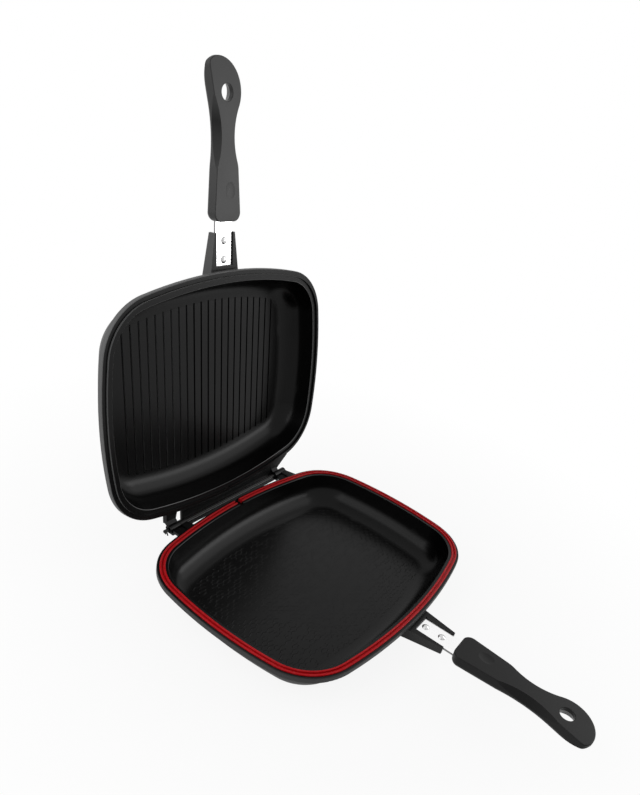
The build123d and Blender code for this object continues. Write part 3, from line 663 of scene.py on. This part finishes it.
# %% Grow the ripples
def grow(name, tree, sizes, finish):
    """Runs a tree on an empty mesh and returns the plain mesh that it makes."""
    seed = bpy.data.objects.new(name + "_seed", bpy.data.meshes.new(name + "_seed"))
    bpy.context.scene.collection.objects.link(seed)
    modifier = seed.modifiers.new("grow", "NODES")
    modifier.node_group = tree
    for item in tree.interface.items_tree:
        if item.in_out == "INPUT" and item.name in sizes:
            modifier[item.identifier] = sizes[item.name]
    graph = bpy.context.evaluated_depsgraph_get()
    mesh = bpy.data.meshes.new_from_object(seed.evaluated_get(graph))
    bpy.data.objects.remove(seed)
    piece = bpy.data.objects.new(name, mesh)
    bpy.context.scene.collection.objects.link(piece)
    mesh.materials.clear()
    mesh.materials.append(finish)
    print(name, "has", len(mesh.vertices), "corners and", len(mesh.polygons), "faces")
    return piece


ripples = grow("floor_ripples", cast_ripples, RIPPLE_SIZES, lower_coat)
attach(ripples, "lower_half")

# %% [markdown]
# ## The studio
#
# A black glossy pan shows mostly what it mirrors, so the studio matters more
# than the paint. The pan stands on a white table in a white room. A room that is
# lit until it looks white would flood the pan with light. So the room is pure
# white to the camera and in reflections only, and lights the pan much more
# softly: Light Path tells the two apart. Near the pan the table keeps a share of
# its real shading, which is the shadow.

# %% The table
TABLE_REACH = 6.0              # metres from the middle to each side
TABLE_WHITE = 0.92
NEAR_WHITE_SHARE = 0.89        # under the pan; the rest is lit and takes its shadow
SHADOW_REACH = (0.24, 0.60)    # metres from the middle, over which the table turns pure white


def seen_directly(tree):
    """One for what the camera, a reflection or glass sees, and zero for light itself."""
    path = tree.nodes.new("ShaderNodeLightPath").outputs
    seen = maths(tree, "MAXIMUM", path["Is Camera Ray"], path["Is Glossy Ray"])
    return maths(tree, "MAXIMUM", seen, path["Is Transmission Ray"])


def white_table():
    """A wide flat table that turns pure white away from the pan."""
    mesh = bpy.data.meshes.new("table")
    r = TABLE_REACH
    mesh.from_pydata([(-r, -r, 0), (r, -r, 0), (r, r, 0), (-r, r, 0)], [], [(0, 1, 2, 3)])
    table = bpy.data.objects.new("table", mesh)
    bpy.context.scene.collection.objects.link(table)
    material = bpy.data.materials.new("white_table")
    material.use_nodes = True
    tree = material.node_tree
    tree.nodes.clear()
    lit = node(tree, "ShaderNodeBsdfDiffuse", Color=grey(TABLE_WHITE))
    glow = node(tree, "ShaderNodeEmission", Color=grey(1.0), Strength=1.0)
    place = tree.nodes.new("ShaderNodeTexCoord").outputs["Object"]
    away = node(tree, "ShaderNodeVectorMath", {"operation": "LENGTH"}, Vector=place)
    white = spread(tree, away.outputs["Value"], NEAR_WHITE_SHARE, 1.0, *SHADOW_REACH)
    mix = node(tree, "ShaderNodeMixShader", Fac=both(tree, seen_directly(tree), white))
    fill(tree, mix.inputs[1], lit.outputs[0])
    fill(tree, mix.inputs[2], glow.outputs[0])
    node(tree, "ShaderNodeOutputMaterial", Surface=mix.outputs[0])
    mesh.materials.append(material)
    print("table", 2 * r, "m wide")


white_table()

# %% The room
ROOM_LIGHT = 0.40              # of the white that the camera sees


def white_room(light):
    """A world that looks pure white and lights the pan with the given strength."""
    world = bpy.data.worlds.new("white_room")
    bpy.context.scene.world = world
    world.use_nodes = True
    tree = world.node_tree
    tree.nodes.clear()
    extra = maths(tree, "MULTIPLY", seen_directly(tree), 1.0 - light)
    back = node(tree, "ShaderNodeBackground", Color=grey(1.0),
                Strength=maths(tree, "ADD", light, extra))
    node(tree, "ShaderNodeOutputWorld", Surface=back.outputs[0])
    print("the room lights the pan at", light, "of its white")


white_room(ROOM_LIGHT)

# %% [markdown]
# ## Soft boxes
#
# Soft boxes draw the highlights. Small lamps would leave hard spots on the gloss,
# and large weak boxes leave long soft ones. The two on the right draw the long
# highlights in the coves beside the hinge. The low one also lights the flat face
# of the upper grip, and the higher one that of the lower grip. The one on the
# left lights the outside of the lid, the rims and the sides of the handles.

# %% Soft boxes
LIGHT_AIM = Vector((0, 0.05, 0.12))


def soft_box(name, toward, distance, width, height, power):
    """A soft box on the given side of the pan, looking at it."""
    light = bpy.data.lights.new(name, "AREA")
    light.shape = "RECTANGLE"
    light.size = width
    light.size_y = height
    light.energy = power
    lamp = bpy.data.objects.new(name, light)
    bpy.context.scene.collection.objects.link(lamp)
    direction = Vector(toward).normalized()
    lamp.location = LIGHT_AIM + direction * distance
    lamp.rotation_euler = direction.to_track_quat("Z", "Y").to_euler()
    print(name, "at", [round(v, 2) for v in lamp.location], "with", power, "W")


soft_box("right_box", (0.70, -0.45, 0.56), distance=1.6, width=1.0, height=0.7, power=3)
soft_box("low_box", (0.72, -0.69, 0.22), distance=1.6, width=0.9, height=0.45, power=5)
soft_box("left_box", (-0.72, 0.35, 0.55), distance=0.85, width=0.9, height=0.7, power=3.5)

# %% [markdown]
# ## The camera
#
# The camera stands in front and to the left, a little above the open lid's
# middle, and it leans slightly, so that the tall lid and the long grip both fit.
# It could be aimed by a constraint, but then its lean would be hard to set. So it
# is placed by plain numbers, and a small shift moves the frame without tilting
# the view.

# %% Camera
CAMERA_PLACE = Vector((-0.5560, -0.3001, 0.5382))
CAMERA_AIM = Vector((0.0079, 0.0, 0.1918))
CAMERA_ROLL = math.radians(13.77)
FRAME_WIDTH, FRAME_HEIGHT = 640, 795
FOCAL_PIXELS = 675.3
CENTRE_PIXEL = (350.64, 442.58)
SENSOR = 36.0                  # millimetres, along the longer side of the frame
NEAREST = 0.02                 # metres

camera = bpy.data.cameras.new("camera")
camera.sensor_fit = "AUTO"
camera.sensor_width = SENSOR
longest = max(FRAME_WIDTH, FRAME_HEIGHT)
camera.lens = FOCAL_PIXELS / longest * SENSOR
camera.shift_x = (FRAME_WIDTH / 2 - CENTRE_PIXEL[0]) / longest
camera.shift_y = (CENTRE_PIXEL[1] - FRAME_HEIGHT / 2) / longest
camera.clip_start = NEAREST
eye = bpy.data.objects.new("camera", camera)
bpy.context.scene.collection.objects.link(eye)
forward = (CAMERA_AIM - CAMERA_PLACE).normalized()
level = forward.cross(UP).normalized()
upright = level.cross(forward)
right = math.cos(CAMERA_ROLL) * level + math.sin(CAMERA_ROLL) * upright
above = math.cos(CAMERA_ROLL) * upright - math.sin(CAMERA_ROLL) * level
turn = Matrix((right, above, -forward)).transposed()
eye.matrix_world = Matrix.Translation(CAMERA_PLACE) @ turn.to_4x4()
bpy.context.scene.camera = eye
bpy.context.scene.view_settings.view_transform = "Standard"
print("lens", round(camera.lens, 1), "mm, shift", round(camera.shift_x, 3),
      round(camera.shift_y, 3))
